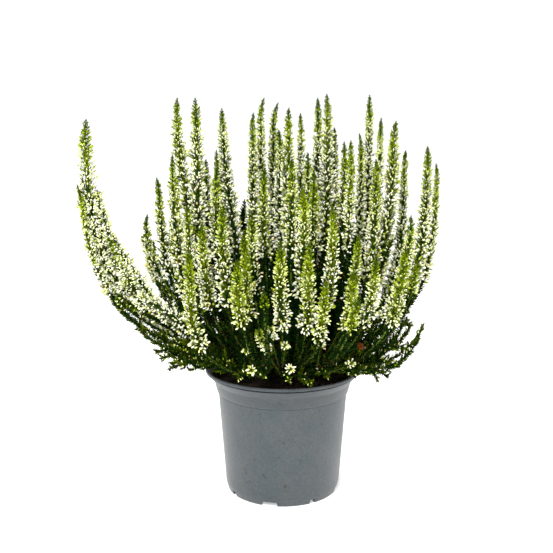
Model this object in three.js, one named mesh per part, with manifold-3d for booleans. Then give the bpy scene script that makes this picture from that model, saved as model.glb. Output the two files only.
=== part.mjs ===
// A potted heather: a bud-blooming heather in a plain plastic nursery pot.
// Millimetres, +Z up. The origin is on the pot's axis, in the plane that the pot stands on.
// -Y is the plant's front.
import * as THREE from "three";
import { mergeVertices } from "three/addons/utils/BufferGeometryUtils.js";
import Module from "manifold-3d";

const wasm = await Module();
wasm.setup();

// ---- the pot -------------------------------------------------------------------------------
const LIP_RADIUS = 60; // a 12 cm nursery pot
const POT_HEIGHT = 97.6;
const LIP_EDGE = 2.1; // height of the lip's outer edge
const LIP_LEDGE = 1.4; // under the edge the lip steps in this far, then slants down to the band
const LIP_TOP_WIDTH = 1.6;
const SLANT_WALL = 1.6; // the slanted part's width in the level direction
const BAND_TOP_RADIUS = 53.2;
const BAND_TOP_HEIGHT = 88;
const BAND_FOOT_RADIUS = 51;
const BAND_FOOT_HEIGHT = 79.3; // the step line round the pot
const STEP = 1;
const WALL_FOOT_RADIUS = 44.6;
const WALL_FOOT_HEIGHT = 6.1;
const FOOT_RADIUS = 42.9;
const FOOT_WIDTH = 3.2;
const WALL = 1.2;
const FLOOR_UNDERSIDE = 4;
const FLOOR_THICKNESS = 1.4;
const FLOOR_TOP = FLOOR_UNDERSIDE + FLOOR_THICKNESS;
const PAD_RADIUS = 15; // the flat spot in the middle of the underside
const PAD_SLOPE = 1.5;
const POT_SIDES = 32;
const NOTCHES = 8;
const FIRST_NOTCH_DEG = -103.6;
const NOTCH_WIDTHS = [11, 4.5]; // wide and narrow ones take turns
const NOTCH_HEIGHT = 3.4;
const DRAINS = 4;
const DRAIN_RADIUS = 4;
const DRAIN_SIDES = 8;
const DRAIN_CIRCLE = 28;

// ---- the soil ------------------------------------------------------------------------------
const GAP = 0.3; // between the soil and the pot's floor
const WALL_GAP = 0.48; // between the soil and the pot's wall
const SLIVER = 0.08; // edges that a join leaves shorter than this are closed up
const SOIL_TOP = 92.6;
const SOIL_CROWN = 1; // the middle stands this much higher
const SOIL_SIDES = 20;
const SOIL_RINGS = 2;
const LUMP_HEIGHT = 0.5;
const LUMP_LENGTH = [4, 5]; // across and from front to back
const HOLE_RADIUS = 2.1;
const HOLE_SIDES = 5;
const HOLE_BOTTOM = 79.6;

// ---- how a stem rises ----------------------------------------------------------------------
const STEM_BOTTOM = 80;
const STEM_RADIUS = 1.3;
const BEND_FROM = 94; // stems stand upright below this height, then lean out
const BEND_EASE = 0.03;
const CROWN_HEIGHT = 300;
const ROOT_SHARE = 0.33; // a stem's distance from the axis at the soil, as a share of the crown's
const ROOT_REACH = 41; // and no further out than this
const SPREAD = 5.5; // a higher figure takes a stem to its place in the crown sooner
const FORK_HEIGHT = 103;
const FORK_LENGTH = 30;
const SIDE_STEM_RADIUS = 0.9;
const STEM_BARE = 14; // the part in the soil
const LEAVES_FROM = 21; // the first leaves, measured along the stem
const SIDE_LEAVES_FROM = 6;
const CROWDED_HEIGHT = 100; // stems are close here, so leaves keep to CROWDED_RADIUS
const CROWDED_RADIUS = 1.6;
const CLEAR_HEIGHT = 162; // and buds have all their room from here up

// ---- the relief of leaves and buds ---------------------------------------------------------
const SIDES = 6; // every second corner of a ring stands out, the others on the next ring
const LEAF_RADIUS = 3.3;
const LEAF_CORE = 1.4;
const LEAF_STEP = 15;
const SHOOT_RADIUS = 4.4; // of the low shoots
const SHOOT_CORE = 1.1;
const SHOOT_STEP = 9;
const SHOOT_BARE = 8;
const SHOOT_ARCH = 5;
const SHOOT_WIDENS = 0.09; // mm a mm from its stem
const SHOOT_THINS = 0.25; // mm a mm to its end
const BUD_RADIUS = 7.2;
const BUD_CORE = 0.4; // share of the radius at the corners that stay in
const BUD_STEP_TIP = 10.8;
const BUD_STEP_FOOT = 17;
const STEP_LENGTH = 120; // the step grows over this length from the tip down
const HIDDEN_BELOW = 205; // inside the crown, below this height, the relief is coarser
const HIDDEN_WITHIN = 76;
const HIDDEN_STEP = 30;
const BUDS_FROM = 130; // height of the lowest buds
const TIP_LENGTH = 75; // a spike thins over this length towards its tip
const TIP_RADIUS = 1.5;
const POINT_LENGTH = 4.5;
const LIFT = 0.62; // a corner that stands out points up by this share of a step
const TIP_LIFT = 0.35; // and by no more than this share of the way left to the tip
const FULLNESS = [0.92, 1.08]; // spikes differ this much in width
const SEED = 20251;

const random = makeRandom(SEED);

// Park and Miller's generator: whole numbers only, so every program draws the same.
function makeRandom(seed) {
  let state = seed;
  return () => {
    state = (state * 48271) % 2147483647;
    return state / 2147483647;
  };
}

// Each spray: the tip of its main spike, then the tips of the side spikes that fork from it.
// leafy lists the ends of its low shoots without buds, one of them with the point it bends towards.
// spread, bendFrom and fork differ from SPREAD, BEND_FROM and FORK_HEIGHT where they are given.
// The front and the sides come first.
const SPRAYS = [
  {
    name: "left_sweep",
    spread: 4.6,
    bendFrom: 110,
    spikes: [
      { tip: [-135, -58, 288] },
      { tip: [-137, -70, 243], fork: 100, spread: 4.5, bendFrom: BEND_FROM },
      { tip: [-117, -62, 210], fork: 136 },
    ],
    leafy: [[-91, -56, 124], [-82, -58, 112]],
  },
  {
    name: "left_outer",
    spikes: [{ tip: [-92, -8, 244] }, { tip: [-106, 12, 214] }],
    leafy: [[-96, 4, 124], [-82, -14, 106]],
  },
  { name: "left_tall", spread: 2.2, spikes: [{ tip: [-80, 17, 302] }] },
  { name: "left_tall_inner", spikes: [{ tip: [-64, 0, 302] }, { tip: [-81, -22, 262] }] },
  { name: "left_middle", spikes: [{ tip: [-68, -42, 228] }, { tip: [-57, -58, 216] }] },
  {
    name: "left_front",
    spread: 10,
    spikes: [{ tip: [-64, -82, 202] }],
    leafy: [[-73, -60, 112], [-57, -64, 113]],
  },
  {
    name: "left_centre",
    spread: 1.85,
    spikes: [
      { tip: [-47, 30, 294] },
      { tip: [-53, 52, 261] },
      { tip: [-31, 47, 222], spread: SPREAD },
      { tip: [-60, 31, 255], spread: SPREAD },
    ],
  },
  { name: "left_bright", spikes: [{ tip: [-49, -24, 254] }, { tip: [-30, -8, 206] }] },
  { name: "centre_back", spikes: [{ tip: [-17.5, 42, 302] }, { tip: [-23, 15, 291] }] },
  { name: "centre_dark", spikes: [{ tip: [-14, -38, 254] }] },
  { name: "centre_high_back", spikes: [{ tip: [-6.5, 67, 298] }] },
  { name: "centre_high", spikes: [{ tip: [-2, 22, 278] }, { tip: [15, 38, 290], spread: 4.2 }] },
  { name: "centre_main", spikes: [{ tip: [4, -11, 295] }, { tip: [19, 4, 262] }] },
  { name: "centre_bright", spikes: [{ tip: [6, -39, 260] }, { tip: [22, -24, 250] }] },
  { name: "right_high_back", spikes: [{ tip: [28, 62, 302] }, { tip: [41, 45, 279] }] },
  { name: "centre_low", spikes: [{ tip: [14, -66, 244] }, { tip: [34, -72, 232] }] },
  { name: "right_tallest", spikes: [{ tip: [34.5, 24, 305] }] },
  { name: "right_pair", spikes: [{ tip: [47, 4, 270] }, { tip: [49, -20, 272] }] },
  { name: "right_low", spikes: [{ tip: [52, -56, 208] }] },
  { name: "right_inner", spikes: [{ tip: [61, 28, 275] }, { tip: [69, 52, 304] }] },
  { name: "right_bright", spikes: [{ tip: [67, -28, 259] }] },
  { name: "right_tall", spread: 3.6, spikes: [{ tip: [82, -14, 286] }, { tip: [73, 7, 287] }] },
  { name: "right_twin", spikes: [{ tip: [85, 34, 272] }, { tip: [92.5, 13, 263] }] },
  {
    name: "right_outer",
    spikes: [{ tip: [108, -3, 267] }, { tip: [119, 26, 252], spread: 7 }],
    leafy: [[104, 8, 126], [92, 20, 106]],
  },
  { name: "right_edge", spikes: [{ tip: [91.5, -38, 220] }], leafy: [[79, -30, 98]] },
  {
    name: "right_front",
    spread: 6.5,
    spikes: [{ tip: [93, -62, 192] }, { tip: [82, -80, 204] }],
    leafy: [[90, -46, 124], [100, -42, 138, 88, -36, 94]],
  },
  {
    name: "right_front_low",
    spread: 6.5,
    spikes: [{ tip: [63, -77, 197] }],
    leafy: [[66, -56, 100], [50, -64, 108]],
  },
  {
    name: "front_right",
    spread: 6.5,
    spikes: [{ tip: [47, -91, 190] }, { tip: [47, -111, 177] }],
    leafy: [[32, -70, 110]],
  },
  {
    name: "front_middle",
    spread: 6.5,
    spikes: [{ tip: [17, -87, 208] }, { tip: [27, -106, 186] }],
    leafy: [[20, -70, 104]],
  },
  { name: "front_centre", spread: 6.5, spikes: [{ tip: [-2, -94, 211] }], leafy: [[4, -72, 108]] },
  { name: "centre_left_low", spikes: [{ tip: [-22, -60, 225] }] },
  { name: "front_left", spread: 6.5, spikes: [{ tip: [-26, -84, 209] }, { tip: [-42, -71, 231] }] },
  {
    name: "front_lowest",
    spread: 6.5,
    spikes: [{ tip: [-31, -104, 199] }, { tip: [-13, -114, 181] }],
    leafy: [[-32, -72, 110], [-14, -76, 112]],
  },
  // the back
  { name: "back_left_high", spikes: [{ tip: [-85, 48, 240] }, { tip: [-71, 62, 225] }] },
  {
    name: "back_left_low",
    spread: 6.5,
    spikes: [{ tip: [-104, 42, 190] }, { tip: [-92, 64, 186] }],
    leafy: [[-84, 40, 106]],
  },
  { name: "back_left", spikes: [{ tip: [-51, 78, 240] }, { tip: [-50, 101, 194] }], leafy: [[-60, 66, 104]] },
  { name: "back_centre_high", spikes: [{ tip: [-24, 68, 250] }, { tip: [-20, 92, 220] }] },
  {
    name: "back_centre",
    spikes: [{ tip: [3, 90, 240] }, { tip: [8, 112, 186] }],
    leafy: [[-18, 84, 106], [12, 86, 104]],
  },
  { name: "back_right", spikes: [{ tip: [29, 86, 245] }, { tip: [47, 70, 225] }], leafy: [[34, 80, 106]] },
  { name: "back_right_high", spikes: [{ tip: [71, 76, 250] }, { tip: [88, 57, 235] }] },
  { name: "back_right_low", spread: 6.5, spikes: [{ tip: [54, 95, 205] }], leafy: [[64, 68, 104]] },
  { name: "back_right_outer", spread: 6.5, spikes: [{ tip: [105, 45, 200] }], leafy: [[84, 40, 106]] },
];

// The share of its crown distance that a stem has reached at height z.
function reach(z, spread, bendFrom) {
  const rise = Math.max(0, (z - bendFrom) / (CROWN_HEIGHT - bendFrom));
  const eased = Math.min(1, (rise * rise) / (rise + BEND_EASE));
  return 1 - (1 - eased) ** spread;
}

// The stem under a tip: a function from height to a point.
function stemTo([x, y, tipZ], spread, bendFrom) {
  const tipReach = ROOT_SHARE + (1 - ROOT_SHARE) * reach(tipZ, spread, bendFrom);
  const crown = new THREE.Vector2(x, y).divideScalar(tipReach);
  const root = crown.clone().multiplyScalar(ROOT_SHARE).clampLength(0, ROOT_REACH);
  return (z) => {
    const place = root.clone().lerp(crown, reach(z, spread, bendFrom));
    return new THREE.Vector3(place.x, place.y, z);
  };
}

// A curve up a stem from one height to another.
class StemCurve extends THREE.Curve {
  constructor(stem, from, to) {
    super();
    Object.assign(this, { stem, from, to });
  }
  getPoint(t) {
    return this.stem(this.from + t * (this.to - this.from));
  }
}

// A side stem leaves the main one at fork and is on its own way FORK_LENGTH higher.
function forkedStem(main, own, fork) {
  return (z) => {
    const share = THREE.MathUtils.smoothstep(z, fork, fork + FORK_LENGTH);
    return main(z).lerp(own(z), share);
  };
}

// The largest radius at height z that stays clear of the neighbours, which crowd low down.
function roomAt(z) {
  const height = THREE.MathUtils.clamp(z, CROWDED_HEIGHT, CLEAR_HEIGHT);
  return THREE.MathUtils.mapLinear(height, CROWDED_HEIGHT, CLEAR_HEIGHT, CROWDED_RADIUS, BUD_RADIUS);
}

// Rings of SIDES corners up a curve, closed by a flat bottom and a pointed tip.
// Each ring gives its place along the curve, its outer and inner radius, and its lift.
function ringSolid(curve, rings) {
  const places = [];
  const length = curve.getLength();
  let side = new THREE.Vector3(1, 0, 0);
  rings.forEach(({ at, outer, inner, lift }, row) => {
    const share = Math.min(1, at / length);
    const centre = curve.getPointAt(share);
    const along = curve.getTangentAt(share);
    side = side.clone().addScaledVector(along, -side.dot(along)).normalize();
    const across = along.clone().cross(side);
    for (let k = 0; k < SIDES; k++) {
      const out = (k + row) % 2 === 0;
      const angle = (k * 2 * Math.PI) / SIDES;
      const radius = out ? outer : inner;
      places.push(
        centre
          .clone()
          .addScaledVector(side, radius * Math.cos(angle))
          .addScaledVector(across, radius * Math.sin(angle))
          .addScaledVector(along, out ? lift : 0),
      );
    }
  });
  const corner = (row, k) => row * SIDES + (k % SIDES);
  const faces = [];
  for (let row = 0; row + 1 < rings.length; row++) {
    for (let k = 0; k < SIDES; k++) {
      const a = corner(row, k);
      const b = corner(row, k + 1);
      const c = corner(row + 1, k + 1);
      const d = corner(row + 1, k);
      const outFirst = (k + row) % 2 === 0;
      faces.push(...(outFirst ? [a, b, d, b, c, d] : [a, b, c, a, c, d]));
    }
  }
  for (let k = 1; k + 1 < SIDES; k++) faces.push(corner(0, 0), corner(0, k + 1), corner(0, k));
  const tip = places.push(curve.getPointAt(1)) - 1;
  const last = rings.length - 1;
  for (let k = 0; k < SIDES; k++) faces.push(corner(last, k), corner(last, k + 1), tip);
  const geometry = new THREE.BufferGeometry().setFromPoints(places);
  geometry.setIndex(faces);
  return solidOf(geometry);
}

// A flowering stem: bare in the soil, leafy low down, then a spike of buds that thins upwards.
function spikeSolid(stem, from, tipZ) {
  const curve = new StemCurve(stem, from, tipZ);
  const length = curve.getLength();
  const inSoil = from < SOIL_TOP;
  const bare = inSoil ? STEM_RADIUS : SIDE_STEM_RADIUS;
  const rings = [{ at: 0, outer: bare, inner: bare, lift: 0 }];
  if (inSoil) rings.push({ at: STEM_BARE, outer: bare, inner: bare, lift: 0 });
  const fullness = THREE.MathUtils.lerp(...FULLNESS, random());
  let at = inSoil ? LEAVES_FROM : SIDE_LEAVES_FROM;
  while (at < length - POINT_LENGTH) {
    const { x, y, z } = curve.getPointAt(at / length);
    const left = length - at;
    if (z < BUDS_FROM) {
      const outer = Math.min(LEAF_RADIUS, roomAt(z));
      rings.push({ at, outer, inner: Math.min(LEAF_CORE, outer), lift: LIFT * LEAF_STEP });
      at += LEAF_STEP;
    } else {
      const grown = Math.sin(Math.min(1, left / TIP_LENGTH) * 0.5 * Math.PI);
      const full = THREE.MathUtils.lerp(TIP_RADIUS, BUD_RADIUS, grown);
      const outer = Math.min(full, roomAt(z)) * fullness;
      const open = THREE.MathUtils.lerp(BUD_STEP_TIP, BUD_STEP_FOOT, Math.min(1, left / STEP_LENGTH));
      rings.push({ at, outer, inner: BUD_CORE * outer, lift: Math.min(LIFT * open, TIP_LIFT * left) });
      const hidden = z < HIDDEN_BELOW && Math.hypot(x, y) < HIDDEN_WITHIN;
      at += hidden ? HIDDEN_STEP : open;
    }
  }
  rings.push({ at: length - POINT_LENGTH, outer: TIP_RADIUS, inner: TIP_RADIUS, lift: 0 });
  return ringSolid(curve, rings);
}

// A low shoot without buds: it leaves its stem, arches over and ends in a point.
function leafySolid(stem, [x, y, z, ...towards]) {
  const start = stem(FORK_HEIGHT);
  const finish = new THREE.Vector3(x, y, z);
  const bend = start.clone().lerp(finish, 0.5);
  bend.z = Math.max(start.z, finish.z) + SHOOT_ARCH;
  if (towards.length) bend.set(...towards);
  const curve = new THREE.QuadraticBezierCurve3(start, bend, finish);
  const length = curve.getLength();
  const rings = [{ at: 0, outer: SIDE_STEM_RADIUS, inner: SIDE_STEM_RADIUS, lift: 0 }];
  for (let at = SHOOT_BARE; at < length - POINT_LENGTH; at += SHOOT_STEP) {
    const widened = STEM_RADIUS + at * SHOOT_WIDENS;
    const thinned = TIP_RADIUS + (length - at) * SHOOT_THINS;
    const outer = Math.min(SHOOT_RADIUS, widened, thinned);
    rings.push({ at, outer, inner: SHOOT_CORE, lift: LIFT * SHOOT_STEP });
  }
  return ringSolid(curve, rings);
}

function solidOf(geometry) {
  const bare = geometry.clone();
  bare.deleteAttribute("normal");
  bare.deleteAttribute("uv");
  const merged = mergeVertices(bare, 1e-4);
  return new wasm.Manifold(
    new wasm.Mesh({
      numProp: 3,
      vertProperties: merged.attributes.position.array,
      triVerts: new Uint32Array(merged.index.array),
    }),
  );
}

function meshOf(name, solid, material) {
  const { vertProperties, triVerts } = solid.getMesh();
  const geometry = new THREE.BufferGeometry();
  geometry.setAttribute("position", new THREE.BufferAttribute(vertProperties, 3));
  geometry.setIndex(new THREE.BufferAttribute(triVerts, 1));
  geometry.computeVertexNormals();
  const mesh = new THREE.Mesh(geometry, material);
  mesh.name = name;
  return mesh;
}

// A solid of revolution about +Z from [radius, height] corners.
function turned(corners, sides) {
  const profile = corners.map(([r, z]) => new THREE.Vector2(r, z));
  return new THREE.LatheGeometry(profile, sides).rotateX(Math.PI / 2);
}

function potSolid() {
  const corners = [
    [0, 0],
    [PAD_RADIUS, 0],
    [PAD_RADIUS + PAD_SLOPE, FLOOR_UNDERSIDE],
    [FOOT_RADIUS - FOOT_WIDTH, FLOOR_UNDERSIDE],
    [FOOT_RADIUS - FOOT_WIDTH, 0],
    [FOOT_RADIUS, 0],
    [WALL_FOOT_RADIUS, WALL_FOOT_HEIGHT],
    [BAND_FOOT_RADIUS - STEP, BAND_FOOT_HEIGHT],
    [BAND_FOOT_RADIUS, BAND_FOOT_HEIGHT],
    [BAND_TOP_RADIUS, BAND_TOP_HEIGHT],
    [LIP_RADIUS - LIP_LEDGE, POT_HEIGHT - LIP_EDGE],
    [LIP_RADIUS, POT_HEIGHT - LIP_EDGE],
    [LIP_RADIUS, POT_HEIGHT],
    [LIP_RADIUS - LIP_TOP_WIDTH, POT_HEIGHT],
    [BAND_TOP_RADIUS - SLANT_WALL, BAND_TOP_HEIGHT],
    [BAND_FOOT_RADIUS - STEP - WALL, BAND_FOOT_HEIGHT],
    [WALL_FOOT_RADIUS - WALL, FLOOR_TOP],
    [0, FLOOR_TOP],
  ];
  return solidOf(turned(corners, POT_SIDES)).subtract(notches()).subtract(drains());
}

function potInnerRadius(z) {
  const foot = WALL_FOOT_RADIUS - WALL;
  const low = BAND_FOOT_RADIUS - STEP - WALL;
  const high = BAND_TOP_RADIUS - SLANT_WALL;
  const { mapLinear } = THREE.MathUtils;
  if (z < BAND_FOOT_HEIGHT) return mapLinear(z, FLOOR_TOP, BAND_FOOT_HEIGHT, foot, low);
  if (z < BAND_TOP_HEIGHT) return mapLinear(z, BAND_FOOT_HEIGHT, BAND_TOP_HEIGHT, low, high);
  return mapLinear(z, BAND_TOP_HEIGHT, POT_HEIGHT, high, LIP_RADIUS - LIP_TOP_WIDTH);
}

// Gaps in the foot ring that let water out.
function notches() {
  const cuts = [];
  for (let i = 0; i < NOTCHES; i++) {
    const width = NOTCH_WIDTHS[i % NOTCH_WIDTHS.length];
    const cut = new THREE.BoxGeometry(3 * FOOT_WIDTH, width, 2 * NOTCH_HEIGHT);
    cut.translate(FOOT_RADIUS, 0, 0);
    cut.rotateZ(THREE.MathUtils.degToRad(FIRST_NOTCH_DEG + (i * 360) / NOTCHES));
    cuts.push(solidOf(cut));
  }
  return wasm.Manifold.union(cuts);
}

function drains() {
  const cuts = [];
  for (let i = 0; i < DRAINS; i++) {
    const angle = ((i + 0.5) * 2 * Math.PI) / DRAINS;
    const [x, y] = [DRAIN_CIRCLE * Math.cos(angle), DRAIN_CIRCLE * Math.sin(angle)];
    cuts.push(solidOf(post(DRAIN_RADIUS, DRAIN_SIDES, 0, 2 * FLOOR_TOP, x, y)));
  }
  return wasm.Manifold.union(cuts);
}

// An upright prism from height bottom to height top.
function post(radius, sides, bottom, top, x, y) {
  const prism = new THREE.CylinderGeometry(radius, radius, top - bottom, sides);
  return prism.rotateX(Math.PI / 2).translate(x, y, (bottom + top) / 2);
}

// The root ball: it fills the pot, its top is low and lumpy, and each stem has its plain hole.
function soilSolid(roots) {
  const floor = FLOOR_TOP + GAP;
  const rim = potInnerRadius(SOIL_TOP) - WALL_GAP;
  const corners = [
    [0, floor],
    [potInnerRadius(floor) - WALL_GAP, floor],
    [potInnerRadius(BAND_FOOT_HEIGHT) - WALL_GAP, BAND_FOOT_HEIGHT],
    [potInnerRadius(BAND_TOP_HEIGHT) - WALL_GAP, BAND_TOP_HEIGHT],
  ];
  for (let i = 0; i <= SOIL_RINGS; i++) {
    const share = 1 - i / SOIL_RINGS;
    corners.push([rim * share, SOIL_TOP + SOIL_CROWN * (1 - share * share)]);
  }
  const geometry = turned(corners, SOIL_SIDES);
  const place = geometry.attributes.position;
  for (let i = 0; i < place.count; i++) {
    if (place.getZ(i) <= SOIL_TOP) continue;
    const lump = Math.sin(place.getX(i) / LUMP_LENGTH[0]) * Math.cos(place.getY(i) / LUMP_LENGTH[1]);
    place.setZ(i, place.getZ(i) + LUMP_HEIGHT * lump);
  }
  const hole = ({ x, y }) => solidOf(post(HOLE_RADIUS, HOLE_SIDES, HOLE_BOTTOM, POT_HEIGHT, x, y));
  return solidOf(geometry).subtract(wasm.Manifold.union(roots.map(hole)));
}

const potPlastic = new THREE.MeshStandardMaterial({ color: 0x7c8084, roughness: 0.75, metalness: 0 });
const soilMaterial = new THREE.MeshStandardMaterial({ color: 0x1f1712, roughness: 1, metalness: 0 });
const sprayMaterial = new THREE.MeshStandardMaterial({ color: 0xb9bd86, roughness: 0.8, metalness: 0 });

const heather = new THREE.Group();
heather.add(meshOf("pot", potSolid(), potPlastic));

const roots = [];
for (const { name, spread = SPREAD, bendFrom = BEND_FROM, spikes, leafy = [] } of SPRAYS) {
  const mainStem = stemTo(spikes[0].tip, spread, bendFrom);
  const sideHabit = { fork: FORK_HEIGHT, spread, bendFrom };
  let spray = spikeSolid(mainStem, STEM_BOTTOM, spikes[0].tip[2]);
  for (const side of spikes.slice(1)) {
    const { tip, fork, spread: sideSpread, bendFrom: sideBend } = { ...sideHabit, ...side };
    const stem = forkedStem(mainStem, stemTo(tip, sideSpread, sideBend), fork);
    spray = spray.add(spikeSolid(stem, fork, tip[2]));
  }
  for (const end of leafy) spray = spray.add(leafySolid(mainStem, end));
  heather.add(meshOf("spray_" + name, spray.simplify(SLIVER), sprayMaterial));
  roots.push(mainStem(STEM_BOTTOM));
}
heather.add(meshOf("soil", soilSolid(roots), soilMaterial));

export default heather;
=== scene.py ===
import math

import bmesh
import bpy
import numpy as np
from mathutils import Matrix, Vector


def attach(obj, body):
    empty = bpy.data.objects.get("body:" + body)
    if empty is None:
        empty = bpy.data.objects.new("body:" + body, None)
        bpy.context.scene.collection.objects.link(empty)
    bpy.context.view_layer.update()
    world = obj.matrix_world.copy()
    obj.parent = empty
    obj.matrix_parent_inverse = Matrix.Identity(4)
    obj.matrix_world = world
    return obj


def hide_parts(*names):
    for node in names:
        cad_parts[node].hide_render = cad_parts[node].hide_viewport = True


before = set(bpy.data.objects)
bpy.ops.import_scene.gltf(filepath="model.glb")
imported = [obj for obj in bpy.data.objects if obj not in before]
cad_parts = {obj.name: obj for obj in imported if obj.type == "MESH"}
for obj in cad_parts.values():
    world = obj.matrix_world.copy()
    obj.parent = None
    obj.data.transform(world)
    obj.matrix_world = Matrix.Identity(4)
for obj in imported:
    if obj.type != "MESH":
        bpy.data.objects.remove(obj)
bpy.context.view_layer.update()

# A potted heather. Lengths are in millimetres here, and become metres when a mesh is made.
MM = 0.001
SEED = 20251

# ---- how a stem rises: the same rule and numbers as the part's source ----
STEM_BOTTOM = 80.0
BEND_FROM = 94.0
BEND_EASE = 0.03
CROWN_HEIGHT = 300.0
ROOT_SHARE = 0.33
ROOT_REACH = 41.0
SPREAD = 5.5
FORK_HEIGHT = 103.0
FORK_LENGTH = 30.0
SHOOT_ARCH = 5.0

# ---- leaves and buds ----
SOIL_TOP = 93.0
STEM_RADIUS = 1.1
BUDS_FROM = 146.0  # height of the lowest buds round the edge of the crown
INNER_BUDS_FROM = 188.0  # and in its middle, where the light doesn't reach
CROWN_RADII = (105.0, 92.0)
BUDS_PER_SHOOT = 1.9  # buds sit on short side shoots round a spike
BELOW_TIP = (0.0, 3.0, 8.0, 18.0, 40.0, 65.0, 95.0)  # places along a spike, down from its tip
REACH = (0.7, 1.8, 3.1, 4.3, 5.5, 6.6, 7.2)  # how far its buds reach from its stem there
BUDS_PER_MM = (3.6, 5.0, 5.8, 5.7, 4.8, 4.1, 3.8)
BRACTS_PER_MM = 4.0
BUD_LENGTH = (0.9, 1.25, 1.6, 1.9, 2.5, 3.2, 3.7)
BUD_TILT_DEG = (20.0, 30.0, 48.0, 56.0, 62.0, 66.0, 70.0)  # from along the stem to across it
CORE_SHARE = 0.22  # the stem with the leaf bases on it, as a share of the spike's reach
BUD_WIDTH = 0.23  # half width as a share of the length
ROUGH = 0.3  # how much further than the rest some of a spike's shoots reach
BRACT_LENGTH = (1.5, 3.3)
SHOOT_RIPE = 0.28
PALE_LEAF = 0.34  # the darkest leaves among the buds
GREEN_FOR = (28.0, 56.0)  # each spike's buds are still green for this far below its tip
OLD_GREEN_FOR = 16.0  # or this far, where the spike is given an age
TIP_BUDS_FOR = 26.0  # buds nearer to a tip than this have a simple form
NEAR_SIDE = -20.0  # and of the rest, those in front of this y have the finest
FOOT_LENGTH = 26.0  # a spike's lowest buds stand out further, and hang a little
LEAF_OPEN_DEG = 52.0
STRAY_BUDS_PER_MM = 0.3
GOLDEN_ANGLE = math.pi * (3 - math.sqrt(5))
TUFT_LENGTH = (13.0, 20.0)
TUFT_RISE = 1.6  # how much more a tuft goes along its stem than away from it
TUFT_AGE = 16.0
BOWED_AGE = 34.0
SMALL_GLOW, TUFT_GLOW, BOWED_GLOW = 0.36, 0.3, 0.35  # how yellow the leaves are among their buds
INNER_SHOOT_RISE = (60.0, 90.0)
DRIED_SCALES = 44
DRIED_FORK = 128.0  # the height where the old flower head's stem leaves

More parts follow.
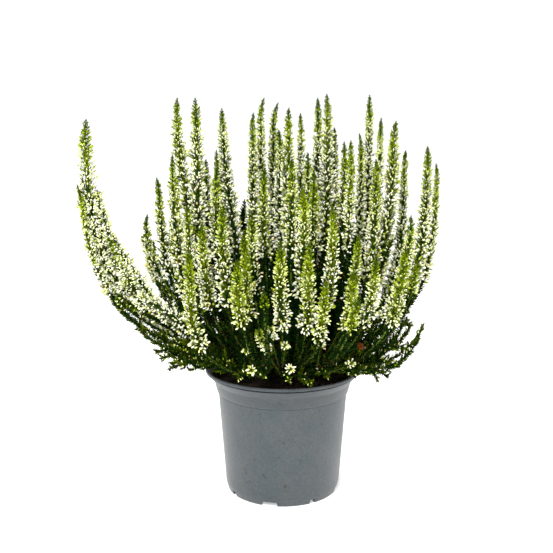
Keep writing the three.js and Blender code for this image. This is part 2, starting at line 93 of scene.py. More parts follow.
# Each spray. spikes: the tip of its main spike, then those of the side spikes, some with the height
# where they fork off, their own spread and their own BEND_FROM. full: how wide the spikes are, all of
# them or each. buds: the heights where the spikes' buds begin, where it isn't the usual. leafy: the
# ends of the low shoots without buds, some with the point they bend towards. small: the tips of late
# shoots, the length that has buds, and for some the age, which is how far down a spike such buds are.
# tufts: two heights between which this many short spikes crowd the main one. bowed: the height where
# one more spike leaves, the point it bows towards and its tip. dried: the place of an old flower
# head. hook: how far the main tip leans to the right.
SPRAYS = {
    "left_sweep": dict(
        spread=4.6,
        bend_from=110.0,
        tufts=(146, 238, 21),
        bowed=(128, (-80, -62, 158), (-104, -61, 165)),
        spikes=[(-135.5, -58, 288), (-137, -70, 243, 100, 4.5, BEND_FROM), (-119, -62, 208, 136)],
        buds=(137, 169, 150),
        leafy=[
            (-91, -56, 124), (-82, -58, 112), (-88, -58, 120), (-80, -60, 117),
            (-120, -62, 165, -107, -68, 139), (-102, -60, 142, -80, -60, 119),
            (-84, -57, 130, -66, -50, 118), (-91, -56, 139, -70, -50, 124),
            (-116, -61, 168, -109, -65, 160), (-117, -62, 166, -108, -66, 150),
        ],
        small=[
            (-128, -58, 240, 14, 12), (-125, -58, 229, 14, 14), (-122.5, -60, 219, 14, 16),
            (-118, -60, 210, 14, 16), (-114.5, -61, 203, 14, 16), (-110.5, -60, 196, 15, 16),
            (-105.5, -60, 187, 16, 16), (-101.5, -58, 177, 15, 16), (-95.5, -57, 168, 13, 16),
            (-112, -64, 188, 14, 20), (-119, -64, 194, 15, 20), (-104, -62, 168, 14, 20),
        ],
        hook=1.5,
        full=(1.15, 0.62, 1.0),
    ),
    "left_outer": dict(
        spikes=[(-92, -8, 244), (-106, 12, 214)],
        buds=(170, 163),
        leafy=[
            (-96, 4, 124), (-82, -14, 106),
            (-84, -12, 176, -62, -8, 130), (-89, -6, 166, -70, -4, 122),
        ],
        small=[(-85, -6, 208, 24), (-108.5, 12, 197, 26, 12), (-105, 12, 178, 16, 12)],
    ),
    "left_tall": dict(spread=2.2, spikes=[(-80.4, 17, 302)]),
    "left_tall_inner": dict(spikes=[(-64.2, 0, 302), (-80, -22, 262)], full=(1.1, 0.85)),
    "left_middle": dict(spikes=[(-68, -42, 228), (-57, -58, 216)], buds=(156, 156)),
    "left_front": dict(
        spread=10.0,
        spikes=[(-64, -82, 202)],
        buds=(134,),
        leafy=[(-73, -60, 116), (-67, -61, 112), (-57, -64, 117)],
    ),
    "left_centre": dict(
        spread=1.85,
        spikes=[
            (-47, 30, 294), (-53, 52, 261),
            (-31, 47, 222, FORK_HEIGHT, SPREAD), (-60, 31, 255, FORK_HEIGHT, SPREAD),
        ],
        full=1.2,
    ),
    "left_bright": dict(spikes=[(-49, -24, 254), (-30, -8, 206)]),
    "centre_back": dict(spikes=[(-17.5, 42, 302), (-23, 15, 291)], hook=2.9, full=0.92),
    "centre_dark": dict(spikes=[(-14, -38, 254)], buds=(190,)),
    "centre_high_back": dict(spikes=[(-7.3, 67, 298)], hook=3.7),
    "centre_high": dict(spikes=[(-2, 22, 278), (14.4, 38, 290, FORK_HEIGHT, 4.2)]),
    "centre_main": dict(spikes=[(4, -11, 295), (19, 4, 262)]),
    "centre_bright": dict(spikes=[(6, -39, 260), (22, -24, 250)]),
    "right_high_back": dict(spikes=[(28.6, 62, 302), (41, 45, 279)]),
    "centre_low": dict(spikes=[(14, -66, 244), (34, -72, 232)], buds=(166, 160)),
    "right_tallest": dict(spikes=[(34.5, 24, 305)], full=1.05),
    "right_pair": dict(spikes=[(46, 4, 270), (49, -20, 272)], full=(1.0, 0.88)),
    "right_low": dict(spikes=[(52, -56, 208)], buds=(162,)),
    "right_inner": dict(spikes=[(61, 28, 275), (69, 52, 304)], full=(0.85, 1.0)),
    "right_bright": dict(spikes=[(67, -28, 259)]),
    "right_tall": dict(spread=3.6, spikes=[(80.5, -14, 286), (73, 7, 287)], hook=1.6, full=(1.1, 0.85)),
    "right_twin": dict(spikes=[(85, 34, 272), (92.5, 13, 263)], full=0.9),
    "right_outer": dict(
        spikes=[(107.4, -3, 267), (119.8, 26, 252, FORK_HEIGHT, 6.2)],
        buds=(160, 162),
        leafy=[(102, 8, 128), (99, 10, 138), (92, 20, 106)],
        full=(1.05, 0.78),
    ),
    "right_edge": dict(
        spikes=[(91.5, -38, 220)],
        leafy=[(79, -30, 98), (86, -32, 176, 62, -20, 128), (80, -22, 200, 60, -14, 140)],
    ),
    "right_front": dict(
        spread=6.5,
        spikes=[(93, -62, 192), (82, -80, 204)],
        buds=(168, 150),
        leafy=[
            (90, -46, 124), (101, -42, 141, 91, -38, 92), (77, -49, 114), (85, -46, 111),
            (93, -42, 121, 82, -44, 104), (98.5, -40, 133, 86, -40, 108),
            (94, -36, 139, 80, -36, 112), (91, -32, 144, 78, -34, 112),
            (85, -42, 136, 76, -42, 112),
        ],
    ),
    "right_front_low": dict(
        spread=6.5,
        spikes=[(63, -77, 197)],
        buds=(149,),
        leafy=[(68, -58, 103, 65, -52, 117), (50, -64, 110)],
    ),
    "front_right": dict(
        spread=6.5,
        spikes=[(47, -91, 190), (47, -111, 177)],
        buds=(149, 153),
        leafy=[(32, -70, 110)],
        small=[(25, -88, 142, 6, 11), (49, -70, 121, 4, 11)],
        dried=(52, -90, 138),
    ),
    "front_middle": dict(
        spread=6.5,
        spikes=[(17, -87, 208), (27, -106, 186)],
        buds=(147, 146),
        leafy=[(20, -70, 104)],
    ),
    "front_centre": dict(
        spread=6.5,
        spikes=[(-2, -94, 211)],
        buds=(149,),
        leafy=[(4, -72, 108)],
        small=[
            (-9, -93, 152, 10, 11), (-12, -90, 139, 5, 11), (-17, -86, 148, 20, 6),
            (5, -85, 121, 4, 12), (1, -88, 139, 4, 11),
        ],
    ),
    "centre_left_low": dict(spikes=[(-22, -60, 225)], buds=(168,)),
    "front_left": dict(spread=6.5, spikes=[(-26, -84, 209), (-42, -71, 231)], buds=(156, 161)),
    "front_lowest": dict(
        spread=6.5,
        spikes=[(-31, -104, 199), (-13, -114, 181)],
        buds=(154, 169),
        leafy=[(-32, -72, 110), (-14, -76, 112)],
        small=[(-23, -81, 119, 5, 12), (-26, -82, 134, 3, 11)],
    ),
    "back_left_high": dict(spikes=[(-85, 48, 240), (-71, 62, 225)]),
    "back_left_low": dict(spread=6.5, spikes=[(-104, 42, 190), (-92, 64, 186)], leafy=[(-84, 40, 106)]),
    "back_left": dict(spikes=[(-51, 78, 240), (-50, 101, 194)], leafy=[(-60, 66, 104)]),
    "back_centre_high": dict(spikes=[(-24, 68, 250), (-20, 92, 220)]),
    "back_centre": dict(spikes=[(3, 90, 240), (8, 112, 186)], leafy=[(-18, 84, 106), (12, 86, 104)]),
    "back_right": dict(spikes=[(29, 86, 245), (47, 70, 225)], leafy=[(34, 80, 106)]),
    "back_right_high": dict(spikes=[(71, 76, 250), (88, 57, 235)]),
    "back_right_low": dict(spread=6.5, spikes=[(54, 95, 205)], leafy=[(64, 68, 104)]),
    "back_right_outer": dict(spread=6.5, spikes=[(105, 45, 200)], leafy=[(84, 40, 106)]),
}


def reach(z, spread, bend_from):
    """The share of its crown distance that a stem has reached at height z."""
    rise = np.maximum(0.0, (z - bend_from) / (CROWN_HEIGHT - bend_from))
    eased = np.minimum(1.0, rise * rise / (rise + BEND_EASE))
    return 1 - (1 - eased) ** spread


def stem_to(tip, spread, bend_from):
    """The stem under a tip: a function from heights to points."""
    tip_reach = ROOT_SHARE + (1 - ROOT_SHARE) * reach(tip[2], spread, bend_from)
    crown = np.array(tip[:2], float) / tip_reach
    root = crown * ROOT_SHARE
    root *= min(1.0, ROOT_REACH / max(1e-6, np.linalg.norm(root)))

    def stem(z):
        z = np.asarray(z, float)
        place = root + (crown - root) * reach(z, spread, bend_from)[..., None]
        return np.concatenate([place, z[..., None]], axis=-1)

    return stem


def smoothstep(low, high, x):
    t = np.clip((x - low) / (high - low), 0, 1)
    return t * t * (3 - 2 * t)


def unit(v):
    return v / np.maximum(1e-9, np.linalg.norm(v, axis=-1, keepdims=True))


class Path:
    """A smooth line with its arc length, its direction and one direction across it."""

    def __init__(self, points):
        self.points = points
        steps = np.linalg.norm(np.diff(points, axis=0), axis=1)
        self.s = np.concatenate([[0], np.cumsum(steps)])
        self.length = self.s[-1]
        self.along = unit(np.gradient(points, self.s, axis=0))
        side = np.array([1.0, 0.0, 0.0])
        sides = []
        for direction in self.along:
            side = unit(side - direction * side.dot(direction))
            sides.append(side)
        self.side = np.array(sides)

    def frames(self, s):
        mix = lambda rows: np.stack([np.interp(s, self.s, rows[:, k]) for k in range(3)], -1)
        along = unit(mix(self.along))
        side = mix(self.side)
        side = unit(side - along * (side * along).sum(-1, keepdims=True))
        return mix(self.points), along, side, np.cross(along, side)

    def outward(self, s, azimuth):
        """Points at s, the direction along, and the direction across at each azimuth."""
        point, along, side, third = self.frames(s)
        across = side * np.cos(azimuth)[:, None] + third * np.sin(azimuth)[:, None]
        return point, along, across


def wobbled(points, rng, size, hook=0.0):
    """A grown stem is never quite straight: it sways, and some tips hook to one side."""
    share = np.linspace(0, 1, len(points))
    lean = hook or 3.0 * rng.uniform(0, 1) ** 2
    towards = 0.0 if hook else rng.uniform(0, 2 * math.pi)
    curl = lean * np.clip((points[:, 2] - points[-1, 2]) / 16 + 1, 0, 1) ** 2
    for axis in (0, 1):
        for waves in (1.3, 2.9):
            phase = rng.uniform(0, 2 * math.pi)
            sway = np.sin(2 * math.pi * waves * share + phase) - math.sin(phase)
            points[:, axis] += size / waves * share * (1 - share) * sway
        points[:, axis] += curl * (math.cos(towards), math.sin(towards))[axis]
    return points


def ring_template(rings, sides):
    """A closed form of rings between two poles, as points and triangles.
    The bottom pole is the first point. rings lists (height, radius)."""
    places = [(0.0, 0.0, 0.0)]
    for row, (height, radius) in enumerate(rings):
        for k in range(sides):
            a = 2 * math.pi * (k + 0.5 * (row % 2)) / sides
            places.append((radius * math.cos(a), radius * math.sin(a), height))
    places.append((0.0, 0.0, 1.0))
    corner = lambda row, k: 1 + row * sides + k % sides
    faces = [(0, corner(0, k + 1), corner(0, k)) for k in range(sides)]
    for row in range(len(rings) - 1):
        for k in range(sides):
            a, b = corner(row, k), corner(row, k + 1)
            c, d = corner(row + 1, k), corner(row + 1, k + 1)
            if row % 2 == 0:
                faces += [(a, b, c), (b, d, c)]
            else:
                faces += [(a, b, d), (a, d, c)]
    last = len(rings) - 1
    top = len(places) - 1
    faces += [(corner(last, k), corner(last, k + 1), top) for k in range(sides)]
    return np.array(places), np.array(faces)


def needle_template():
    """A narrow leaf that ends in a point."""
    places = [(0.0, 0.0, 1.0)]
    for k in range(3):
        a = 2 * math.pi * k / 3
        places.append((math.cos(a), 0.7 * math.sin(a), 0.0))
    return np.array(places), np.array([(1, 2, 0), (2, 3, 0), (3, 1, 0), (1, 3, 2)])


BUD = ring_template([(0.03, 0.2), (0.40, 1.0), (0.77, 0.8)], sides=3)
TIP_BUD = ring_template([(0.55, 1.0)], sides=4)
PLAIN_BUD = ring_template([(0.28, 1.0), (0.74, 0.85)], sides=3)
NEEDLE = needle_template()
BUD_SLOT, LEAF_SLOT, STEM_SLOT = 0, 1, 2


class Heap:
    """Points, triangles and shading numbers, gathered for one mesh."""

    def __init__(self):
        self.rows = []
        self.count = 0

    def add(self, places, faces, slot, shade, ripe, tint):
        slots = np.full(len(faces), slot)
        self.rows.append((places, faces + self.count, slots, shade, ripe, tint))
        self.count += len(places)

    def grow(self, template, slot, origins, directions, lengths, widths, ripe, tint, roots=None):
        """One copy of the template on each origin. Its bottom pole is drawn out to its root."""
        local, faces = template
        n, corners = len(origins), len(local)
        guide = np.where(np.abs(directions[:, 2:]) > 0.8, [[1.0, 0, 0]], [[0, 0, 1.0]])
        across = unit(np.cross(guide, directions))
        third = np.cross(directions, across)
        places = origins[:, None] + directions[:, None] * (local[:, 2] * lengths[:, None])[..., None]
        places += across[:, None] * (local[:, 0] * widths[:, None])[..., None]
        places += third[:, None] * (local[:, 1] * widths[:, None])[..., None]
        if roots is not None:
            places[:, 0] = roots
        steps = (np.arange(n) * corners)[:, None, None]
        self.add(
            places.reshape(-1, 3),
            (faces[None] + steps).reshape(-1, 3),
            slot,
            np.tile(local[:, 2], n),
            np.repeat(ripe, corners),
            np.repeat(tint, corners),
        )

    def tube(self, path, start, end, radii, sides, rows, ripe, tint, slot=STEM_SLOT):
        """A round stem from start to end along the path, closed at both ends."""
        s = np.linspace(start, end, rows)
        point, along, side, third = path.frames(s)
        share = np.linspace(0, 1, rows)
        along_rows = lambda values: np.interp(share, np.linspace(0, 1, len(values)), values)
        radius = along_rows(radii)
        a = 2 * math.pi * np.arange(sides) / sides
        ring = side[:, None] * np.cos(a)[None, :, None] + third[:, None] * np.sin(a)[None, :, None]
        places = (point[:, None] + ring * radius[:, None, None]).reshape(-1, 3)
        places = np.concatenate([places, point[:1], point[-1:]])
        faces = []
        for row in range(rows - 1):
            for k in range(sides):
                a0, b0 = row * sides + k, row * sides + (k + 1) % sides
                faces += [(a0, b0, b0 + sides), (a0, b0 + sides, a0 + sides)]
        foot, top = rows * sides, rows * sides + 1
        for k in range(sides):
            faces.append((foot, (k + 1) % sides, k))
            faces.append((top, (rows - 1) * sides + k, (rows - 1) * sides + (k + 1) % sides))
        shade = np.concatenate([np.repeat(np.linspace(0, 1, rows), sides), [0.0, 1.0]])
        ripe = along_rows(np.atleast_1d(ripe))
        ripe = np.concatenate([np.repeat(ripe, sides), ripe[:1], ripe[-1:]])
        self.add(places, np.array(faces), slot, shade, ripe, np.full(len(places), tint))

    def mesh(self, name):
        places, faces, slots, shade, ripe, tint = (np.concatenate(column) for column in zip(*self.rows))
        mesh = bpy.data.meshes.new(name)
        mesh.vertices.add(len(places))
        mesh.vertices.foreach_set("co", (places * MM).astype(np.float32).ravel())
        mesh.loops.add(faces.size)
        mesh.loops.foreach_set("vertex_index", faces.astype(np.int32).ravel())
        mesh.polygons.add(len(faces))
        mesh.polygons.foreach_set("loop_start", np.arange(0, faces.size, 3, dtype=np.int32))
        mesh.polygons.foreach_set("material_index", slots.astype(np.int32))
        mesh.polygons.foreach_set("use_smooth", np.ones(len(faces), bool))
        for label, values in (("shade", shade), ("ripe", ripe), ("tint", tint)):
            mesh.attributes.new(label, "FLOAT", "POINT").data.foreach_set(
                "value", values.astype(np.float32)
            )
        mesh.update(calc_edges=True)
        mesh.validate()
        return mesh


def spike_reach(left, fullness):
    """How far a spike's buds reach from its stem, this far below its tip."""
    return fullness * np.interp(left, BELOW_TIP, REACH)


def shoot_places(path, foot, rng, age):
    """Where the short side shoots of a spike are, once for each bud: s, azimuth and stretch."""
    rows = 60
    places = np.linspace(foot, path.length, rows)
    per_mm = np.interp(path.length - places + age, BELOW_TIP, BUDS_PER_MM)
    so_far = np.cumsum(per_mm) * (path.length - foot) / rows
    shoots = max(2, int(so_far[-1] / BUDS_PER_SHOOT))
    share = (np.arange(shoots) + rng.uniform(0, 1, shoots)) / shoots
    s = np.interp(share * so_far[-1], so_far, places)
    azimuth = np.arange(shoots) * GOLDEN_ANGLE + rng.normal(0, 0.25, shoots)
    stretch = ROUGH * rng.uniform(0, 1, shoots) ** 5 * smoothstep(10, 40, path.length - s)
    buds = rng.integers(1, 4, shoots) + np.round(5 * stretch).astype(int)
    return (np.repeat(values, buds) for values in (s, azimuth, 1 + stretch))


def spike_buds(heap, path, foot, rng, greenness, fullness, age):
    """Buds round a spike, small, green and close at its tip."""
    s, azimuth, stretch = shoot_places(path, foot, rng, age)
    n = len(s)
    s = np.clip(s + rng.normal(0, 1.3, n), foot - 2, path.length - 2.2)
    azimuth += rng.normal(0, 0.4, n)
    left = path.length - s + age
    low = smoothstep(FOOT_LENGTH, 0, s - foot)
    lump = 1 + 0.1 * np.sin(s / 2.6 + 2 * azimuth + rng.uniform(0, 6)) * smoothstep(10, 50, left)
    full = spike_reach(left, fullness) * lump * stretch
    lengths = np.interp(left, BELOW_TIP, BUD_LENGTH) * rng.uniform(0.82, 1.15, n) * (1 + 0.12 * low)
    share = 1.07 - 0.62 * rng.uniform(0, 1, n) ** 1.5
    inner = smoothstep(0.95, 0.55, share)
    tilt = (np.interp(left, BELOW_TIP, BUD_TILT_DEG) + 22 * low) * (1 - 0.5 * inner)
    tilt = np.radians(tilt + rng.normal(0, 13, n))
    point, along, across = path.outward(s, azimuth)
    directions = along * np.cos(tilt)[:, None] + across * np.sin(tilt)[:, None]
    directions[:, 2] -= 0.3 * low * rng.uniform(0.2, 1.6, n)
    directions = unit(directions + rng.normal(0, 0.1, (n, 3)))
    away = np.maximum(0.3, full * share - lengths * np.sin(tilt))
    origins = point + across * away[:, None]
    roots = point - along * (0.6 * away)[:, None]
    widths = lengths * (BUD_WIDTH + 0.05 * smoothstep(40, 8, left)) * rng.uniform(0.88, 1.12, n)
    ripe = np.interp(left, (2, 10, 0.7 * greenness, 1.3 * greenness), (0.2, 0.55, 0.85, 0.98))
    # buds near the stem, deep inside the spike, are painted greener and darker: painted shade
    ripe += rng.normal(0, 0.08, n) - 0.12 * inner
    unripe = rng.uniform(0, 1, n) < np.interp(left, (5, greenness), (0.45, 0.18))
    ripe -= rng.uniform(0.15, 0.45, n) * unripe
    ripe = np.clip(ripe, 0, 1)
    tint = rng.uniform(0, 1, n)
    small, near = left < TIP_BUDS_FOR, origins[:, 1] < NEAR_SIDE
    columns = (origins, directions, lengths, widths, ripe, tint, roots)
    for template, chosen in ((TIP_BUD, small), (BUD, near & ~small), (PLAIN_BUD, ~near & ~small)):
        heap.grow(template, BUD_SLOT, *(column[chosen] for column in columns))


def spike_bracts(heap, path, foot, rng, fullness, glow):
    """The small leaves that fill a spike between its buds."""
    length = path.length - foot
    n = max(3, int(length * BRACTS_PER_MM))
    s = foot + length * ((np.arange(n) + rng.uniform(0, 1, n)) / n) ** 0.94
    left = path.length - s
    azimuth = np.arange(n) * GOLDEN_ANGLE + rng.normal(0, 0.3, n)
    point, along, across = path.outward(s, azimuth)
    full = spike_reach(left, fullness)
    grown = smoothstep(0, 60, left)
    lengths = (BRACT_LENGTH[0] + (BRACT_LENGTH[1] - BRACT_LENGTH[0]) * grown) * rng.uniform(0.8, 1.2, n)
    tilt = np.radians(14 + 30 * grown + rng.normal(0, 11, n))
    directions = unit(along * np.cos(tilt)[:, None] + across * np.sin(tilt)[:, None])
    away = full * (0.18 + 0.6 * rng.uniform(0, 1, n))
    origins = point + across * (away - 0.3 * lengths * np.sin(tilt))[:, None]
    ripe = glow * np.interp(left, (2, 9, 30, 60), (0.6, 0.95, 0.9, 0.65)) + rng.normal(0, 0.16, n)
    ripe = np.clip(ripe, PALE_LEAF, 1)
    widths = (0.42 + 0.4 * grown) * rng.uniform(0.7, 1.2, n)
    heap.grow(NEEDLE, LEAF_SLOT, origins, directions, lengths, widths, ripe, rng.uniform(0, 1, n))


def needles(heap, path, start, end, per_mm, size, stem_radius, ripe, rng, width=0.42):
    """Short narrow leaves close along a stem, pointing up and out."""
    n = max(3, int((end - start) * per_mm))
    s = start + (end - start) * (np.arange(n) + rng.uniform(0, 1, n)) / n
    azimuth = np.arange(n) * GOLDEN_ANGLE + rng.normal(0, 0.3, n)
    point, along, across = path.outward(s, azimuth)
    near_end = np.clip((path.length - s) / 6.0, 0.25, 1)
    tilt = np.radians(18 + (LEAF_OPEN_DEG - 18) * near_end + rng.normal(0, 12, n))
    directions = unit(along * np.cos(tilt)[:, None] + across * np.sin(tilt)[:, None])
    lengths = size * rng.uniform(0.75, 1.2, n) * (0.6 + 0.4 * near_end)
    origins = point + across * stem_radius * 0.5
    leaf_ripe = np.clip(ripe + 0.12 * (1 - near_end) + rng.normal(0, 0.07, n), 0, 1)
    widths = width * rng.uniform(0.8, 1.2, n)
    heap.grow(NEEDLE, LEAF_SLOT, origins, directions, lengths, widths, leaf_ripe, rng.uniform(0, 1, n))


def bezier(start, middle, end, rows):
    t = np.linspace(0, 1, rows)[:, None]
    return (1 - t) ** 2 * start + 2 * t * (1 - t) * middle + t * t * end


def leafy_twig(heap, start, middle, end, rng, ripe, per_mm=1.8, size=2.7):
    """A thin twig that its closely set leaf bases cover."""
    path = Path(bezier(start, middle, end, 9))
    rows = 3 + int(path.length / 9)
    heap.tube(path, 0, path.length, (0.85, 0.35), 4, rows, ripe, rng.uniform(0, 0.9), slot=LEAF_SLOT)
    needles(heap, path, 0.8, path.length, per_mm, size, 0.6, ripe, rng, width=0.6)
    return path


def side_twigs(heap, path, start, end, count, length, rng, ripe, rise=1.3):
    """Leafy side twigs that leave a stem at a slant and curve up."""
    s = start + (end - start) * (np.arange(count) + rng.uniform(0.1, 0.9, count)) / max(1, count)
    azimuth = np.arange(count) * GOLDEN_ANGLE + rng.uniform(0, 6)
    point, along, across = path.outward(s, azimuth)
    for k in range(count):
        size = length * rng.uniform(0.6, 1.3)
        direction = unit(across[k] + rise * along[k] + rng.normal(0, 0.15, 3))
        middle = point[k] + direction * size * 0.5
        finish = point[k] + direction * size * 0.85 + np.array([0, 0, size * rng.uniform(0.1, 0.4)])
        leafy_twig(heap, point[k], middle, finish, rng, np.clip(ripe + rng.normal(0, 0.1), 0, 1))


def stray_buds(heap, path, rng):
    """A few pale buds on the outer part of a leafy shoot."""
    n = int(path.length * STRAY_BUDS_PER_MM)
    s = path.length * rng.uniform(0.35, 1.0, n)
    point, along, across = path.outward(s, rng.uniform(0, 2 * math.pi, n))
    directions = unit(along + across + [0, 0, 0.6])
    sizes = rng.uniform(1.6, 2.4, n)
    ripe = rng.uniform(0.45, 0.95, n)
    heap.grow(TIP_BUD, BUD_SLOT, point + across * 1.8, directions, sizes, 0.26 * sizes, ripe, ripe, point)


def leafy_shoot(heap, start, end, towards, rng):
    """A low shoot without buds, feathery with side twigs that get shorter towards its end."""
    middle = (start + end) / 2
    middle[2] = max(start[2], end[2]) + SHOOT_ARCH
    if towards:
        middle[:] = towards
    path = leafy_twig(heap, start, middle, end, rng, SHOOT_RIPE, per_mm=3.0, size=3.0)
    longest, growth = (4.5, 0.12) if towards else (11.0, 0.40)
    for s in np.arange(5, path.length - 2, 1.9):
        length = min(longest, 3 + growth * (path.length - s))
        side_twigs(heap, path, s, s + 2, 1, length, rng, SHOOT_RIPE, rise=1.2)
    stray_buds(heap, path, rng)


def crown_share(tip):
    """How far out a tip is: 0 in the crown's middle and 1 at its edge."""
    return math.hypot(tip[0] / CROWN_RADII[0], tip[1] / CROWN_RADII[1])


def lowest_buds(tip):
    """The height where a spike's buds begin: low round the edge, high in the crown's middle."""
    return BUDS_FROM + (INNER_BUDS_FROM - BUDS_FROM) * float(smoothstep(0.95, 0.5, crown_share(tip)))


def leafy_side_shoots(heap, path, foot, rng, count):
    """Tall shoots without buds that fill the dark inside of the crown."""
    for _ in range(count):
        point, along, *_ = path.frames(np.array([foot * rng.uniform(0.15, 0.5)]))
        inwards = -unit(point[0] * [1, 1, 0]) + rng.normal(0, 0.5, 3) * [1, 1, 0]
        rise = unit(along[0] + [0, 0, 1.5]) * rng.uniform(*INNER_SHOOT_RISE)
        end = point[0] + inwards * rng.uniform(6, 12) + rise
        middle = point[0] + inwards * 10 + rise * 0.4
        shoot = Path(bezier(point[0], middle, end, 9))
        # these shoots and their leaves are painted near black: painted shade inside the crown
        heap.tube(shoot, 0, shoot.length, (2.2, 2.0, 0.6), 5, 8, 0.1, 0.5, slot=LEAF_SLOT)
        needles(heap, shoot, 1, shoot.length, 1.6, 5.0, 1.8, 0.16, rng, width=1.2)
        side_twigs(heap, shoot, 4, shoot.length - 8, 4, 10, rng, 0.14)


def spike(heap, path, foot, rng, glow, fullness, age=0.0):
    """The flowering part of a stem, from foot to its tip."""
    greenness = OLD_GREEN_FOR if age else rng.uniform(*GREEN_FOR)
    rows = np.linspace(max(0, foot - 6), path.length, 4 + int((path.length - foot) / 3))
    core = CORE_SHARE * spike_reach(path.length - rows, fullness) * rng.uniform(0.75, 1.15, len(rows))
    green = glow * np.interp(path.length - rows, (0, 6, 28, 60), (0.5, 0.75, 0.75, 0.6))
    green = np.maximum(0.3, green * rng.uniform(0.5, 1.3, len(rows)))
    heap.tube(path, rows[0], rows[-1], core, 6, len(rows), green, 0.5, slot=LEAF_SLOT)
    spike_buds(heap, path, foot, rng, greenness, fullness, age)
    spike_bracts(heap, path, foot, rng, fullness, glow)


def flowering_stem(heap, points, rng, buds_from, in_soil, full):
    path = Path(points)
    heights = path.points[:, 2]
    foot = float(np.interp(buds_from, heights, path.s))
    front = float(smoothstep(60, -90, path.points[-1, 1]))
    glow = min(0.75, max(0.28, 0.4 + 0.18 * front + rng.normal(0, 0.1)))
    low = float(np.interp(SOIL_TOP + 3, heights, path.s)) if in_soil else 2.0
    heap.tube(path, 0, foot, (STEM_RADIUS, STEM_RADIUS * 0.8), 5, 10, 0.3, rng.uniform(0, 1))
    spike(heap, path, foot, rng, glow, full * (0.9 + 0.16 * front) * rng.uniform(0.94, 1.08))
    needles(heap, path, low, foot + 6, 3.2, 4.2, 0.9, 0.12, rng, width=0.7)
    edge = crown_share(path.points[-1])
    twig = 12 if edge < 1 else 7
    side_twigs(heap, path, low + 2, foot + 2, int((foot - low) / 5.5), twig, rng, 0.16)
    inner = buds_from > BUDS_FROM + 25 and edge < 1
    if inner or (in_soil and edge < 1.3):
        leafy_side_shoots(heap, path, foot, rng, 2 if inner else 1)


def small_spike(heap, start, tip, length, rng, full, age=0.0):
    """A late shoot with few buds, on its own thin stem."""
    middle = start * 0.35 + tip * 0.65
    middle[2] = start[2] * 0.6 + tip[2] * 0.4
    path = Path(bezier(start, middle, tip, 15))
    foot = max(1.0, path.length - length)
    heap.tube(path, 0, path.length, (0.6, 0.3), 4, 8, 0.5, rng.uniform(0, 1))
    needles(heap, path, foot * 0.4, foot, 2.0, 2.4, 0.4, 0.3, rng)
    spike(heap, path, foot, rng, SMALL_GLOW, 1.1 * full, age)


def tufts_along(heap, stem, low, high, count, rng, full):
    """Short spikes that leave a stem to all sides, close together."""
    path = Path(stem(np.arange(low, high, 2.0)))
    s = path.length * (np.arange(count) + rng.uniform(0, 1, count)) / count
    point, along, across = path.outward(s, np.arange(count) * GOLDEN_ANGLE)
    for k in range(count):
        leave = unit(across[k] + TUFT_RISE * along[k])
        tip = point[k] + leave * rng.uniform(*TUFT_LENGTH) * (1.1 - 0.4 * s[k] / path.length)
        tuft = Path(bezier(point[k], (point[k] + tip) / 2 + across[k] * 1.5, tip, 9))
        spike(heap, tuft, 2.5, rng, TUFT_GLOW, 0.9 * full, TUFT_AGE)


def dried_head(heap, start, place, rng):
    """An old flower head on a thin stem: a ball of red-brown scales."""
    path = Path(bezier(start, (start + place) / 2 + [0, -3, -2], place, 7))
    heap.tube(path, 0, path.length, (0.7, 0.5), 4, 6, 0.15, 0.5, slot=LEAF_SLOT)
    directions = unit(rng.normal(0, 1, (DRIED_SCALES, 3)))
    lengths = rng.uniform(1.3, 2.8, DRIED_SCALES)
    same = np.ones(DRIED_SCALES)
    heap.grow(NEEDLE, LEAF_SLOT, place + directions, directions, lengths, 0.8 * same, 0.3 * same, same)


def spray_mesh(
    name, spikes, spread=SPREAD, bend_from=BEND_FROM, buds=(), leafy=(), small=(), tufts=(), bowed=(),
    dried=(), hook=0.0, full=1.0
):
    rng = np.random.default_rng([SEED, sum(map(ord, name)), len(name)])
    heap = Heap()
    buds = [*buds, *(lowest_buds(tip) + rng.uniform(-5, 5) for tip in spikes[len(buds) :])]
    fulls = np.broadcast_to(full, len(spikes))
    main = stem_to(spikes[0], spread, bend_from)
    z = np.arange(STEM_BOTTOM, spikes[0][2] + 0.1, 2.0)
    z[-1] = spikes[0][2]
    flowering_stem(heap, wobbled(main(z), rng, 3.0, hook), rng, buds[0], True, fulls[0])
    for (x, y, tip_z, *given), buds_from, own_full in zip(spikes[1:], buds[1:], fulls[1:]):
        usual = (FORK_HEIGHT, spread, bend_from)
        start, own_spread, own_bend = (*given, *usual[len(given) :])
        side = stem_to((x, y, tip_z), own_spread, own_bend)
        z = np.arange(start, tip_z + 0.1, 2.0)
        z[-1] = tip_z
        share = smoothstep(start, start + FORK_LENGTH, z)[:, None]
        points = main(z) * (1 - share) + side(z) * share
        points = wobbled(points, rng, 2.5)
        flowering_stem(heap, points, rng, max(buds_from, start + 8), False, own_full)
    fork = main(np.array([FORK_HEIGHT]))[0]
    for x, y, z, *towards in leafy:
        leafy_shoot(heap, fork, np.array([x, y, z], float), towards, rng)
    for x, y, z, length, *age in small:
        start = main(np.array([max(FORK_HEIGHT, z - 2.5 * length - 20)]))[0]
        small_spike(heap, start, np.array([x, y, z], float), length, rng, fulls[0], *age)
    if tufts:
        tufts_along(heap, main, *tufts, rng, fulls[0])
    if bowed:
        height, middle, tip = bowed
        start = main(np.array([height]))[0]
        path = Path(bezier(start, np.array(middle, float), np.array(tip, float), 25))
        spike(heap, path, 4.0, rng, BOWED_GLOW, fulls[0], BOWED_AGE)
    if dried:
        dried_head(heap, main(np.array([DRIED_FORK]))[0], np.array(dried, float), rng)
    return heap.mesh("spray_" + name)


